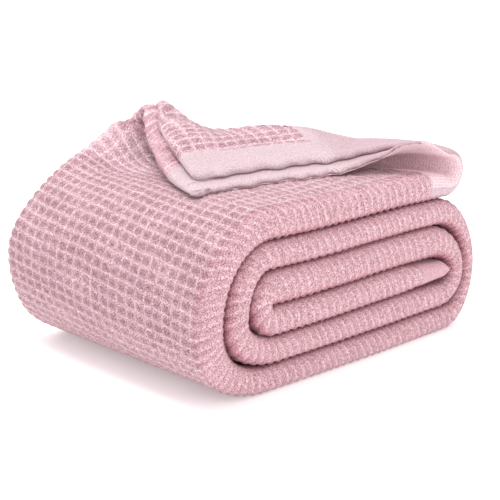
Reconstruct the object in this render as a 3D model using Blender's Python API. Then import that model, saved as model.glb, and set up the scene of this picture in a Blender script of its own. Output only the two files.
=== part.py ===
"""Waffle weave cotton blanket, folded lengthwise into a thick soft strip, rolled flat,
with the loose end of the strip turned back over the top of the roll.

Metres, +Z up. X runs across the spiral end of the roll, Y along its axis (the spiral shows
at -Y), and the origin is the bottom centre of the blanket's box. One piece of cloth, one solid.

The strip is swept as a closed ring of (v, w) points: v runs across the strip from its near
edge, one rounded fold, to its far edge, two rounded folds side by side, and w through its
thickness. A station number q runs along the strip from the inner end of the roll outwards.
"""
import bpy
import bmesh
import math
import numpy as np

STRIP_WIDTH = 0.286          # eight plies, folded in half three times
LAYER_GAP = 0.0012           # air between two turns of the roll
BORDER = 0.078               # plain woven border along each end hem

# Thickness of the strip where it lies flat, from the floor up.
RUN_THICKNESS = {
    "outer bottom": 0.025,
    "middle bottom": 0.026,
    "tongue": 0.028,
    "inner top": 0.032,
    "middle top": 0.026,
    "outer top": 0.029,
}


def run_heights():
    """Mid height of each flat run, stacked from the floor with a gap between turns."""
    heights, floor = {}, 0.0
    for name, thickness in RUN_THICKNESS.items():
        heights[name] = floor + thickness / 2
        floor += thickness + LAYER_GAP
    return heights


# The roll seen from its near end, from the inner end outwards. Flat runs alternate with bends;
# a bend leaves one run's end, passes its outermost point and meets the next run's end.
# columns: what, x, run or height, thickness (None: the run's own)
ROLL = (
    ("tip", 0.343, "tongue", None),
    ("end", 0.092, "tongue", None),
    ("bend", 0.0765, 0.0838, 0.0265),
    ("end", 0.093, "inner top", None),
    ("end", 0.318, "inner top", None),
    ("bend", 0.3625, 0.0640, 0.0215),
    ("end", 0.337, "middle bottom", None),
    ("end", 0.100, "middle bottom", None),
    ("bend", 0.0465, 0.0710, 0.0275),
    ("end", 0.086, "middle top", None),
    ("end", 0.327, "middle top", None),
    ("bend", 0.3825, 0.0660, 0.0165),
    ("end", 0.347, "outer bottom", None),
    ("end", 0.089, "outer bottom", None),
    ("bend", 0.0150, 0.0700, 0.0300),
    ("end", 0.088, "outer top", None),
)
RUN_STEPS = 5                # stations along a flat run
QUARTER_STEPS = 5            # stations along a quarter of a bend

# The fold that turns the loose end back, by share of the strip's width from its near edge.
# columns: share, x where the bend starts, mid radius of the bend, stretch of that radius along
# the strip where the fold runs slantwise
FOLD = (
    (0.00, 0.341, 0.0168, 1.00),
    (0.10, 0.330, 0.0180, 1.08),
    (0.20, 0.316, 0.0182, 1.15),
    (0.30, 0.298, 0.0165, 1.20),
    (0.40, 0.2785, 0.0152, 1.23),
    (0.70, 0.216, 0.0148, 1.30),
    (0.90, 0.162, 0.0145, 1.33),
    (1.00, 0.132, 0.0140, 1.33),
)
# The end hem of the turned-back flap.
# columns: share, x, y, clear height of its lower face over the layer below, border width,
# thickness of both halves of the strip at the hem
HEM = (
    (0.00, 0.293, 0.006, 0.0310, 0.125, 0.005),
    (0.12, 0.278, 0.021, 0.0265, 0.130, 0.009),
    (0.20, 0.268, 0.032, 0.0170, 0.135, 0.011),
    (0.30, 0.250, 0.044, 0.0090, 0.125, 0.013),
    (0.40, 0.233, 0.054, 0.0030, 0.105, 0.013),
    (0.55, 0.205, 0.066, 0.0010, BORDER, 0.013),
    (0.70, 0.168, 0.077, 0.0010, BORDER, 0.013),
    (0.85, 0.118, 0.084, 0.0010, BORDER, 0.013),
    (1.00, 0.064, 0.081, 0.0010, BORDER, 0.013),
)
FOLD_STEPS = 9               # stations round the fold
FLAP_STEPS = 8               # stations down the flap
TOP_STEPS = 6                # stations along the top run before the fold

# The top layer rises towards the far end of the fold, as a soft ridge.
LIFT_HEIGHT = 0.058
LIFT_FROM_X = 0.035
LIFT_TO_X = 0.142
LIFT_FROM_Y = 0.205
RIDGE_SWELL = 0.004          # lower swell along the middle of the fold
LIFT_SHARE_BELOW = 0.75      # how much of the rise the layer's underside follows
PEAK_PINCH = 0.42            # the flap is drawn thin where it leaves the far end of the fold
PINCH_LENGTH = 0.060
INNER_SHARE = 0.68           # of the fold's radius taken up by the cloth inside it
FLAP_BOW = 0.009             # the flap's far edge bows out sideways

UNEVEN = 0.0016              # how far the turns wander from straight
CORNER_DRAW = 0.006          # the lower left corner of the near end is drawn in
FAR_SWELL = 0.009            # the left side swells towards the far end
FAR_RISE = 0.006             # and so does its upper shoulder

LOWER_SHARE = 0.46           # of the hem's thickness taken up by the half that lies lower
HEM_STEP = 0.023             # how far the lower half reaches past the upper one
TIP_THICKNESS = 0.018        # at the inner end of the strip
TIP_ROUND = 0.009

NEAR_BULGE = 0.011           # how far the near fold is rounded
NEAR_FULLNESS = 2.8          # 2 is an ellipse, more is squarer
FAR_BULGE = 0.008            # and each of the two far folds
FAR_GROOVE = 0.019
FAR_OFFSET = 0.012           # one far fold lies further in than the other
FAR_POINTS = 4               # points round each far fold
COLUMNS = (0.07, 0.12, 0.17, 0.23, 0.30, 0.38, 0.47, 0.57, 0.68, 0.79, 0.89)

PINK = (0.76, 0.46, 0.51, 1.0)


def smooth(t):
    t = np.clip(t, 0.0, 1.0)
    return t * t * (3.0 - 2.0 * t)


def column(table, index, share):
    """One column of a table, read between its rows by share of the strip's width."""
    rows = np.array(table, float)
    return np.interp(share, rows[:, 0], rows[:, index])


def lift(x, y):
    """Rise of the top layer's upper face over the flat stack."""
    along = np.clip((x - LIFT_FROM_X) / (LIFT_TO_X - LIFT_FROM_X), 0.0, 1.15)
    along = np.sqrt(along ** 2 + 0.04) - 0.2
    across = smooth((y - LIFT_FROM_Y) / (STRIP_WIDTH - LIFT_FROM_Y)) ** 1.9
    swell = smooth((y - 0.105) / 0.05) * smooth((x - 0.12) / 0.09)
    return LIFT_HEIGHT * along * across + RIDGE_SWELL * swell * (1.0 - across)


def steepness(x, y):
    """Vertical depth of the lifted layer over its thickness."""
    step = 1e-4
    slope_x = (lift(x + step, y) - lift(x - step, y)) / (2 * step)
    slope_y = (lift(x, y + step) - lift(x, y - step)) / (2 * step)
    return np.sqrt(1 + slope_x ** 2 + slope_y ** 2)


HEIGHTS = run_heights()
TOP_FLOOR = HEIGHTS["outer top"] - RUN_THICKNESS["outer top"] / 2


def roll_nodes():
    """The roll's table as rows of x, z, thickness."""
    rows = []
    for _, x, level, thickness in ROLL:
        if isinstance(level, str):
            rows.append((x, HEIGHTS[level], RUN_THICKNESS[level]))
        else:
            rows.append((x, level, thickness))
    return np.array(rows)


NODES = roll_nodes()
ROLL_END = len(NODES) - 1    # q where the roll passes into the top run
FOLD_START = ROLL_END + 1    # q where the fold starts
FLAP_START = ROLL_END + 2    # q where the flap leaves the fold
FLAP_END = ROLL_END + 3      # q at the end hem


def roll_middle(q):
    """Mid line of the roll: straight runs, and bends made of quarter ellipses."""
    k = np.clip(np.floor(q).astype(int), 0, ROLL_END - 1)
    f = q - k
    a, b = NODES[k], NODES[k + 1]
    angle = f * math.pi / 2
    leaving, meeting = k % 3 == 1, k % 3 == 2
    fx = np.where(leaving, np.sin(angle), np.where(meeting, 1 - np.cos(angle), f))
    fz = np.where(leaving, 1 - np.cos(angle), np.where(meeting, np.sin(angle), f))
    x = a[..., 0] + (b[..., 0] - a[..., 0]) * fx
    z = a[..., 1] + (b[..., 1] - a[..., 1]) * fz
    thickness = a[..., 2] + (b[..., 2] - a[..., 2]) * smooth(f)
    return x, z, thickness


AHEAD = np.array([1.0, 0.0])


def fold_frame(v):
    """Where the bend starts, its radii upwards and along, and the flap's heading and length."""
    share = v / STRIP_WIDTH
    start = np.stack([column(FOLD, 1, share), v], -1)
    radius = column(FOLD, 2, share)
    wide = radius * column(FOLD, 3, share)
    hem = np.stack([column(HEM, 1, share), column(HEM, 2, share)], -1)
    reach = wide * math.pi / 2
    heading = hem - start - reach[..., None] * AHEAD
    distance = np.linalg.norm(heading, axis=-1)
    heading = heading / distance[..., None]
    leave = start + reach[..., None] * (AHEAD + heading)
    return start, radius, wide, heading, distance - reach, leave


def from_hem(q, v):
    """Distance along the strip to the end hem."""
    start, _, wide, _, length, _ = fold_frame(v)
    top = (start[..., 0] - NODES[-1, 0]) * np.clip(FOLD_START - q, 0, 1)
    fold = math.pi * wide * np.clip(FLAP_START - q, 0, 1)
    return top + fold + length * np.clip(FLAP_END - q, 0, 1)


def base_thickness(q, v):
    """Thickness of the strip, thinner along the plain borders at both ends."""
    x, _, full = roll_middle(np.minimum(q, ROLL_END))
    tip = NODES[0, 0] - x
    inner = TIP_THICKNESS + (full - TIP_THICKNESS) * smooth(tip / BORDER)
    inner = inner * np.sqrt(1 - np.clip(1 - tip / TIP_ROUND, 0, 0.93) ** 2)
    border, hem = column(HEM, 4, v / STRIP_WIDTH), column(HEM, 5, v / STRIP_WIDTH)
    outer = hem + (full - hem) * smooth((from_hem(q, v) / border - 0.2) / 0.95)
    return np.where(q < 1, inner, np.where(q > ROLL_END, outer, full))


def faces_at(q, v):
    """Distances from the sweep's surface to the strip's outer face and to its inner face."""
    x, _, _ = roll_middle(np.minimum(q, ROLL_END))
    start, radius, _, _, length, _ = fold_frame(v)
    run = np.clip(q - ROLL_END, 0, 1)
    turn = smooth(q - FOLD_START)
    down = np.clip(q - FLAP_START, 0, 1) * length
    x = x + (start[..., 0] - NODES[-1, 0]) * run
    rise = np.where(q > ROLL_END - 1, lift(x, v), 0.0)
    thickness = base_thickness(q, v) + (1 - LIFT_SHARE_BELOW) * rise * (1 - turn)
    far = smooth((v / STRIP_WIDTH - 0.6) / 0.3)
    thickness = thickness * (1 - PEAK_PINCH * far * turn * (1 - smooth(down / PINCH_LENGTH)))
    tight = np.minimum(thickness / 2, INNER_SHARE * radius)
    outer = thickness / 2 + (tight - thickness / 2) * smooth(run) * (1 - smooth(down / 0.03))
    return outer, thickness - outer


def surface(q, v):
    """The surface that the strip is swept about: the roll, the top run, the fold, the flap."""
    q, v = np.broadcast_arrays(np.asarray(q, float), np.asarray(v, float))
    x, z, _ = roll_middle(np.minimum(q, ROLL_END))
    start, radius, wide, heading, length, leave = fold_frame(v)
    share = v / STRIP_WIDTH
    outer, _ = faces_at(q, v)
    outer_start, _ = faces_at(np.minimum(q, FOLD_START), v)
    outer_leave, _ = faces_at(np.full_like(q, FLAP_START), v)

    x = x + (start[..., 0] - NODES[-1, 0]) * np.clip(q - ROLL_END, 0, 1)
    top = TOP_FLOOR + base_thickness(np.minimum(q, FOLD_START), v) + lift(x, v)
    top = top - outer_start * steepness(x, v)
    rise = lift(x, v) * (1 + LIFT_SHARE_BELOW) / 2 - outer * (steepness(x, v) - 1)
    z = np.where(q > ROLL_END, top, z + np.where(q > ROLL_END - 1, rise, 0.0))

    angle = math.pi * np.clip(q - FOLD_START, 0, 1)
    turn = (wide * (angle - np.sin(angle)) / 2)[..., None] * (heading + AHEAD)
    x = x + wide * np.sin(angle) + turn[..., 0]
    y = v + turn[..., 1]
    z = z + radius * (1 - np.cos(angle))

    down = np.clip(q - FLAP_START, 0, 1)
    bow = FLAP_BOW * smooth((share - 0.5) / 0.5) * np.sin(math.pi * down)
    flap_x = leave[..., 0] + heading[..., 0] * length * down - bow
    flap_y = leave[..., 1] + heading[..., 1] * length * down
    below = TOP_FLOOR + RUN_THICKNESS["outer top"]
    steep = steepness(leave[..., 0], leave[..., 1])
    clear_leave = z - outer_leave * steep - below - lift(leave[..., 0], leave[..., 1])
    clear = clear_leave + (column(HEM, 3, share) - clear_leave) * smooth(down ** 0.8)
    flap_z = below + lift(flap_x, flap_y) + clear + outer * steepness(flap_x, flap_y)
    on_flap = q > FLAP_START
    return np.stack([np.where(on_flap, flap_x, x), np.where(on_flap, flap_y, y),
                     np.where(on_flap, flap_z, z)], -1)


def normal(q, v):
    """Unit normal of the sweep's surface, towards the outer side of the roll."""
    dq, dv = 1e-4, 1e-5
    along = surface(q + dq, v) - surface(q - dq, v)
    across = surface(q, v + dv) - surface(q, v - dv)
    n = np.cross(along, across)
    return n / np.linalg.norm(n, axis=-1, keepdims=True)


def strip_point(q, v, w):
    """A point of the strip: w runs from -1 on its inner face to 1 on its outer face."""
    outer, inner = faces_at(q, v)
    offset = (w * (outer + inner) + outer - inner) / 2
    return surface(q, v) + offset[..., None] * normal(q, v)


def ring():
    """Closed outline of the strip across its width, as v and w.

    It starts on the near fold, runs along the outer face, round the two far folds and
    back along the inner face, so that point k and point -k face each other."""
    power = 2 / NEAR_FULLNESS
    near = [(NEAR_BULGE * (1 - math.cos(a) ** power), math.sin(a) ** power)
            for a in np.radians([0, 25, 50, 75, 90])]
    outer = near + [(share * STRIP_WIDTH, 1.0) for share in COLUMNS]
    inner = [(v, -w) for v, w in outer[1:]]
    edge = STRIP_WIDTH
    upper = [(edge - FAR_BULGE, 1.0), (edge - FAR_BULGE * 0.3, 0.86), (edge, 0.5),
             (edge - FAR_BULGE * 0.3, 0.14)]
    assert len(upper) == FAR_POINTS
    lower = [(v - FAR_OFFSET, -w) for v, w in upper]
    points = outer + upper + [(edge - FAR_GROOVE, 0.0)] + lower[::-1] + inner[::-1]
    return np.array(points)


def stations():
    """Station numbers of the rings along the strip, closer together where it bends."""
    rows = [0.0, 0.004, 0.012, 0.022, 0.036, 0.1, 0.17, 0.24, 0.36, 0.52, 0.68, 0.84]
    for k in range(1, ROLL_END):
        steps = RUN_STEPS if k % 3 == 0 else QUARTER_STEPS
        rows += [k + i / steps for i in range(steps)]
    for begin, steps in ((ROLL_END, TOP_STEPS), (FOLD_START, FOLD_STEPS)):
        rows += [begin + i / steps for i in range(steps)]
    return rows


def eased(points):
    """The finished points with the roll's slow unevenness, the same for all its turns."""
    x, y, z = points[..., 0], points[..., 1], points[..., 2]
    off_floor = smooth((z - 0.020) / 0.050)
    depth = 1 - y / STRIP_WIDTH
    left = smooth((0.10 - x) / 0.10)
    wave = np.sin(x / 0.038 + y / 0.15 + 0.6)
    drawn_in = CORNER_DRAW * smooth((0.26 - x) / 0.24) * smooth((0.075 - z) / 0.075) * depth
    far = smooth((y - 0.10) / 0.186)
    high, low = np.exp(-((z - 0.120) / 0.040) ** 2), np.exp(-((z - 0.055) / 0.025) ** 2)
    bulge = FAR_SWELL * far * left * (high - 0.3 * low)
    shoulder = FAR_RISE * far * np.exp(-((x - 0.040) / 0.028) ** 2) * smooth((z - 0.05) / 0.09)
    moved_x = x - bulge + UNEVEN * off_floor * np.sin(z / 0.025 + y / 0.12) * 0.6
    moved_y = y + drawn_in + UNEVEN * np.sin(x / 0.052 + z / 0.037) * np.cos(math.pi * depth / 2)
    moved_z = z + shoulder + UNEVEN * 0.5 * wave * off_floor
    return np.stack([moved_x, moved_y, moved_z], -1)


def sweep():
    """All rings of the strip, the last ones stepped down to the lower half of the hem."""
    outline = ring()
    v, w = outline[:, 0], outline[:, 1]
    length = fold_frame(v)[4]
    last = FLAP_END - (HEM_STEP + 0.0005) / length
    rings = [strip_point(np.full_like(v, q), v, w) for q in stations()]
    rings += [strip_point(FLAP_START + (last - FLAP_START) * i / FLAP_STEPS, v, w)
              for i in range(FLAP_STEPS + 1)]
    for reach, size in ((HEM_STEP, 1.0), (HEM_STEP / 2, 0.95), (0.0, 0.7)):
        lower = 1 - LOWER_SHARE * (1 - w) * size
        rings.append(strip_point(FLAP_END - reach / length, v, lower))
    return eased(np.array(rings))


def cloth_material():
    material = bpy.data.materials.new("pink cotton")
    material.use_nodes = True
    shader = material.node_tree.nodes["Principled BSDF"]
    shader.inputs["Base Color"].default_value = PINK
    shader.inputs["Roughness"].default_value = 0.9
    shader.inputs["Metallic"].default_value = 0.0
    return material


def end_cap(bm, loop, flip):
    """Close an end of the sweep: a ladder between its facing points, then the two far folds."""
    count, groove = len(loop), len(loop) // 2
    rungs = groove - FAR_POINTS
    last, facing = rungs - 1, count - rungs + 1
    faces = [(0, 1, count - 1)]
    faces += [(k, k + 1, count - k - 1, count - k) for k in range(1, last)]
    faces += [(last, rungs, groove), (last, groove, facing), (groove, facing - 1, facing),
              tuple(range(rungs, groove + 1)), tuple(range(groove, facing))]
    for face in faces:
        corners = [loop[k] for k in face]
        bm.faces.new(corners[::-1] if flip else corners)


def blanket():
    rings = sweep()
    low, high = rings.reshape(-1, 3).min(axis=0), rings.reshape(-1, 3).max(axis=0)
    shift = np.array([(low[0] + high[0]) / 2, (low[1] + high[1]) / 2, 0.0])

    bm = bmesh.new()
    loops = [[bm.verts.new(point - shift) for point in points] for points in rings]
    count = len(loops[0])
    for this, following in zip(loops, loops[1:]):
        for k in range(count):
            j = (k + 1) % count
            bm.faces.new((this[k], following[k], following[j], this[j]))
    end_cap(bm, loops[0], flip=False)
    end_cap(bm, loops[-1], flip=True)
    bmesh.ops.recalc_face_normals(bm, faces=bm.faces)
    bmesh.ops.triangulate(bm, faces=bm.faces)

    mesh = bpy.data.meshes.new("blanket")
    bm.to_mesh(mesh)
    bm.free()
    mesh.shade_smooth()
    mesh.set_sharp_from_angle(angle=math.radians(50))
    mesh.materials.append(cloth_material())
    part = bpy.data.objects.new("blanket", mesh)
    bpy.context.scene.collection.objects.link(part)
    return part


for leftover in list(bpy.data.objects):
    bpy.data.objects.remove(leftover, do_unlink=True)
blanket()
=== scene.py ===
"""The looks of the folded and rolled waffle weave blanket: woven skins of its cloth over the
part's own form, a pale floor, soft light and the camera.

Metres, +Z up, in the part's frame. The form below repeats the part's sizes: q is a station
number along the folded strip, v runs across it from the near edge, and w through it.
"""
import math

import bpy
import numpy as np
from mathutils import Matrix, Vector


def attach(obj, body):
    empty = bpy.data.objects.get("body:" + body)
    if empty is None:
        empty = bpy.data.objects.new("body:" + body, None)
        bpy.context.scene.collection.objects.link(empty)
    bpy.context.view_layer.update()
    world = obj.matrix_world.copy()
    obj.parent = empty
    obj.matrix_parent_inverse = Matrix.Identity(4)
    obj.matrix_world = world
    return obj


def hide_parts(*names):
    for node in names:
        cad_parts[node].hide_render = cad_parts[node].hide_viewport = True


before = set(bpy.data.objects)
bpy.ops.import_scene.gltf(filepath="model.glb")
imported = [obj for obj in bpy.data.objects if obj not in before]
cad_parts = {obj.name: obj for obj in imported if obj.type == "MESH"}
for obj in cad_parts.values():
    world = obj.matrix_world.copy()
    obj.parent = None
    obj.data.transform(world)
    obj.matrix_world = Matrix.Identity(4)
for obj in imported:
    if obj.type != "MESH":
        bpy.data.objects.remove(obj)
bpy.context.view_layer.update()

# ---- the part's form ----

STRIP_WIDTH = 0.286          # eight plies, folded in half three times
LAYER_GAP = 0.0012           # air between two turns of the roll
BORDER = 0.078               # plain woven border along each end hem

# Thickness of the strip where it lies flat, from the floor up.
RUN_THICKNESS = {
    "outer bottom": 0.025,
    "middle bottom": 0.026,
    "tongue": 0.028,
    "inner top": 0.032,
    "middle top": 0.026,
    "outer top": 0.029,
}


def run_heights():
    """Mid height of each flat run, stacked from the floor with a gap between turns."""
    heights, floor = {}, 0.0
    for name, thickness in RUN_THICKNESS.items():
        heights[name] = floor + thickness / 2
        floor += thickness + LAYER_GAP
    return heights


# The roll seen from its near end, from the inner end outwards. Flat runs alternate with bends;
# a bend leaves one run's end, passes its outermost point and meets the next run's end.
# columns: what, x, run or height, thickness (None: the run's own)
ROLL = (
    ("tip", 0.343, "tongue", None),
    ("end", 0.092, "tongue", None),
    ("bend", 0.0765, 0.0838, 0.0265),
    ("end", 0.093, "inner top", None),
    ("end", 0.318, "inner top", None),
    ("bend", 0.3625, 0.0640, 0.0215),
    ("end", 0.337, "middle bottom", None),
    ("end", 0.100, "middle bottom", None),
    ("bend", 0.0465, 0.0710, 0.0275),
    ("end", 0.086, "middle top", None),
    ("end", 0.327, "middle top", None),
    ("bend", 0.3825, 0.0660, 0.0165),
    ("end", 0.347, "outer bottom", None),
    ("end", 0.089, "outer bottom", None),
    ("bend", 0.0150, 0.0700, 0.0300),
    ("end", 0.088, "outer top", None),
)

# The fold that turns the loose end back, by share of the strip's width from its near edge.
# columns: share, x where the bend starts, mid radius of the bend, stretch of that radius along
# the strip where the fold runs slantwise
FOLD = (
    (0.00, 0.341, 0.0168, 1.00),
    (0.10, 0.330, 0.0180, 1.08),
    (0.20, 0.316, 0.0182, 1.15),
    (0.30, 0.298, 0.0158, 1.20),
    (0.40, 0.2785, 0.0118, 1.23),
    (0.55, 0.249, 0.0098, 1.26),
    (0.70, 0.216, 0.0130, 1.26),
    (0.90, 0.162, 0.0146, 1.25),
    (1.00, 0.132, 0.0141, 1.22),
)
# The end hem of the turned-back flap.
# columns: share, x, y, clear height of its lower face over the layer below, border width,
# thickness of both halves of the strip at the hem
HEM = (
    (0.00, 0.293, 0.006, 0.0310, 0.125, 0.005),
    (0.12, 0.278, 0.021, 0.0265, 0.130, 0.009),
    (0.20, 0.268, 0.032, 0.0170, 0.135, 0.011),
    (0.30, 0.250, 0.044, 0.0090, 0.125, 0.013),
    (0.40, 0.233, 0.054, 0.0030, 0.105, 0.013),
    (0.55, 0.205, 0.066, 0.0010, BORDER, 0.013),
    (0.70, 0.168, 0.077, 0.0010, BORDER, 0.013),
    (0.85, 0.118, 0.084, 0.0010, BORDER, 0.013),
    (1.00, 0.064, 0.081, 0.0010, BORDER, 0.013),
)

# The top layer rises towards the far end of the fold, as a soft ridge.
LIFT_HEIGHT = 0.058
LIFT_FROM_X = 0.035
LIFT_TO_X = 0.142
LIFT_TOP = 1.15              # in shares of that run, where the rise levels off,
LIFT_TOP_SOFT = 0.004        # how softly it does,
LIFT_START = 0.0008          # and what that softness adds at the start
LIFT_POWER = 2.4
LIFT_FOOT = 0.2              # the foot of the rise is this soft
LIFT_DIP = 0.02              # a shallow dip beside the peak
LIFT_DIP_X = 0.134
LIFT_DIP_WIDTH = 0.012
LIFT_FROM_Y = 0.205
LIFT_ACROSS_POWER = 1.9
RIDGE_SWELL = 0.001          # lower swell along the middle of the fold
SWELL_X = (0.12, 0.09)       # where that starts, and the length over which it comes in
SWELL_Y = (0.105, 0.05)
LIFT_SHARE_BELOW = 0.75      # how much of the rise the layer's underside follows
PEAK_PINCH = 0.42            # the flap is drawn thin where it leaves the far end of the fold
PINCH_LENGTH = 0.060
PINCH_FROM = (0.6, 0.3)      # share of the width where that starts, and over what share
INNER_SHARE = 0.68           # of the fold's radius taken up by the cloth inside it
FOLD_EASE = 0.03             # length over which the flap gets back its even thickness
FLAP_BOW = 0.009             # the flap's far edge bows out sideways
CLEAR_POWER = 0.8            # how soon the flap comes down to its height at the hem
PAST_HEM = 1.1               # the flap's sweep is worked out this far, as a share of its length

UNEVEN = 0.0016              # how far the turns wander from straight,
EVEN_TO = (0.020, 0.050)     # above this height, and the height over which that comes in
CORNER_DRAW = 0.006          # the lower left corner of the near end is drawn in
CORNER_X = (0.26, 0.24)      # from this x leftwards, coming in over this length,
CORNER_Z = 0.075             # and below this height
FAR_SWELL = 0.009            # the left side swells towards the far end
FAR_FROM = (0.10, 0.186)     # from this y on, coming in over this length
LEFT_TO = 0.10
SWELL_BAND = (0.120, 0.040)  # height of the swell's middle and its spread
WAIST_BAND = (0.055, 0.025)  # and of the waist under it, which is this share as deep
WAIST_SHARE = 0.3
FAR_RISE = 0.002             # the swell's upper shoulder rises too
SHOULDER = (0.040, 0.028)    # about this x
SHOULDER_FROM = (0.05, 0.09)
WAVE_SHARES = (0.6, 0.5)     # of the turns' wander that go sideways and upwards

TIP_THICKNESS = 0.018        # at the inner end of the strip
TIP_ROUND = 0.009
HEM_THINNING = (0.2, 0.95)   # shares of the border where the hem starts to thicken, and over which

FAR_BULGE = 0.008            # how far each of the two far folds is rounded
FAR_GROOVE = 0.019
FAR_OFFSET = 0.012           # one far fold lies further in than the other


def smooth(t):
    """A soft step from 0 to 1 as t goes from 0 to 1."""
    t = np.clip(t, 0.0, 1.0)
    return t * t * (3.0 - 2.0 * t)


def ramp(value, start, over):
    """0 up to start, rising softly to 1 over a length past it."""
    return smooth((value - start) / over)


def spot(value, place, width):
    """1 at a place, fading softly to 0 on both sides of it."""
    return np.exp(-((value - place) / width) ** 2)


def column(table, index, share):
    """One column of a table, read smoothly between its rows by share of the strip's width."""
    rows = np.array(table, float)
    at, value = rows[:, 0], rows[:, index]
    slope = np.gradient(value, at)
    k = np.clip(np.searchsorted(at, share, side="right") - 1, 0, len(at) - 2)
    width = at[k + 1] - at[k]
    f = np.clip((share - at[k]) / width, 0.0, 1.0)
    hold, rest = smooth(f), f * (1 - f)
    bend = slope[k] * (1 - f) - slope[k + 1] * f
    return value[k] * (1 - hold) + value[k + 1] * hold + width * rest * bend


def lift(x, y):
    """Rise of the top layer's upper face over the flat stack."""
    along = np.maximum((x - LIFT_FROM_X) / (LIFT_TO_X - LIFT_FROM_X), 0.0)
    along = (along + LIFT_TOP - np.sqrt((along - LIFT_TOP) ** 2 + LIFT_TOP_SOFT)) / 2
    along = np.maximum(along - LIFT_START, 0.0)
    along = np.sqrt(along ** LIFT_POWER + LIFT_FOOT ** 2) - LIFT_FOOT
    along = along - LIFT_DIP * spot(x, LIFT_DIP_X, LIFT_DIP_WIDTH)
    across = smooth((y - LIFT_FROM_Y) / (STRIP_WIDTH - LIFT_FROM_Y)) ** LIFT_ACROSS_POWER
    swell = ramp(y, *SWELL_Y) * ramp(x, *SWELL_X)
    return LIFT_HEIGHT * along * across + RIDGE_SWELL * swell * (1.0 - across)


def steepness(x, y):
    """Vertical depth of the lifted layer over its thickness."""
    step = 1e-4
    slope_x = (lift(x + step, y) - lift(x - step, y)) / (2 * step)
    slope_y = (lift(x, y + step) - lift(x, y - step)) / (2 * step)
    return np.sqrt(1 + slope_x ** 2 + slope_y ** 2)


HEIGHTS = run_heights()
TOP_FLOOR = HEIGHTS["outer top"] - RUN_THICKNESS["outer top"] / 2


def roll_nodes():
    """The roll's table as rows of x, z, thickness."""
    rows = []
    for _, x, level, thickness in ROLL:
        if isinstance(level, str):
            rows.append((x, HEIGHTS[level], RUN_THICKNESS[level]))
        else:
            rows.append((x, level, thickness))
    return np.array(rows)


NODES = roll_nodes()
ROLL_END = len(NODES) - 1    # q where the roll passes into the top run
FOLD_START = ROLL_END + 1    # q where the fold starts
FLAP_START = ROLL_END + 2    # q where the flap leaves the fold
FLAP_END = ROLL_END + 3      # q at the end hem


def roll_middle(q):
    """Mid line of the roll: straight runs, and bends made of quarter ellipses."""
    k = np.clip(np.floor(q).astype(int), 0, ROLL_END - 1)
    f = q - k
    a, b = NODES[k], NODES[k + 1]
    angle = f * math.pi / 2
    leaving, meeting = k % 3 == 1, k % 3 == 2
    fx = np.where(leaving, np.sin(angle), np.where(meeting, 1 - np.cos(angle), f))
    fz = np.where(leaving, 1 - np.cos(angle), np.where(meeting, np.sin(angle), f))
    x = a[..., 0] + (b[..., 0] - a[..., 0]) * fx
    z = a[..., 1] + (b[..., 1] - a[..., 1]) * fz
    thickness = a[..., 2] + (b[..., 2] - a[..., 2]) * smooth(f)
    return x, z, thickness


AHEAD = np.array([1.0, 0.0])


def fold_frame(v):
    """Where the bend starts, its radii upwards and along, and the flap's heading and length."""
    share = v / STRIP_WIDTH
    start = np.stack([column(FOLD, 1, share), v], -1)
    radius = column(FOLD, 2, share)
    wide = radius * column(FOLD, 3, share)
    hem = np.stack([column(HEM, 1, share), column(HEM, 2, share)], -1)
    reach = wide * math.pi / 2
    heading = hem - start - reach[..., None] * AHEAD
    distance = np.linalg.norm(heading, axis=-1)
    heading = heading / distance[..., None]
    leave = start + reach[..., None] * (AHEAD + heading)
    return start, radius, wide, heading, distance - reach, leave


def from_hem(q, v):
    """Distance along the strip to the end hem."""
    start, _, wide, _, length, _ = fold_frame(v)
    top = (start[..., 0] - NODES[-1, 0]) * np.clip(FOLD_START - q, 0, 1)
    fold = math.pi * wide * np.clip(FLAP_START - q, 0, 1)
    return top + fold + length * np.clip(FLAP_END - q, 0, 1)


def base_thickness(q, v):
    """Thickness of the strip, thinner along the plain borders at both ends."""
    x, _, full = roll_middle(np.minimum(q, ROLL_END))
    tip = NODES[0, 0] - x
    inner = TIP_THICKNESS + (full - TIP_THICKNESS) * smooth(tip / BORDER)
    inner = inner * np.sqrt(1 - np.clip(1 - tip / TIP_ROUND, 0, 0.93) ** 2)
    border, hem = column(HEM, 4, v / STRIP_WIDTH), column(HEM, 5, v / STRIP_WIDTH)
    grown = ramp(from_hem(q, v) / border, *HEM_THINNING)
    outer = hem + (full - hem) * grown
    return np.where(q < 1, inner, np.where(q > ROLL_END, outer, full))


def faces_at(q, v):
    """Distances from the sweep's surface to the strip's outer face and to its inner face."""
    x, _, _ = roll_middle(np.minimum(q, ROLL_END))
    start, radius, _, _, length, _ = fold_frame(v)
    run = np.clip(q - ROLL_END, 0, 1)
    turn = smooth(q - FOLD_START)
    down = np.clip(q - FLAP_START, 0, 1) * length
    x = x + (start[..., 0] - NODES[-1, 0]) * run
    rise = np.where(q > ROLL_END - 1, lift(x, v), 0.0)
    thickness = base_thickness(q, v) + (1 - LIFT_SHARE_BELOW) * rise * (1 - turn)
    far = ramp(v / STRIP_WIDTH, *PINCH_FROM)
    thickness = thickness * (1 - PEAK_PINCH * far * turn * (1 - smooth(down / PINCH_LENGTH)))
    tight = np.minimum(thickness / 2, INNER_SHARE * radius)
    outer = thickness / 2 + (tight - thickness / 2) * smooth(run) * (1 - smooth(down / FOLD_EASE))
    return outer, thickness - outer


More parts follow.
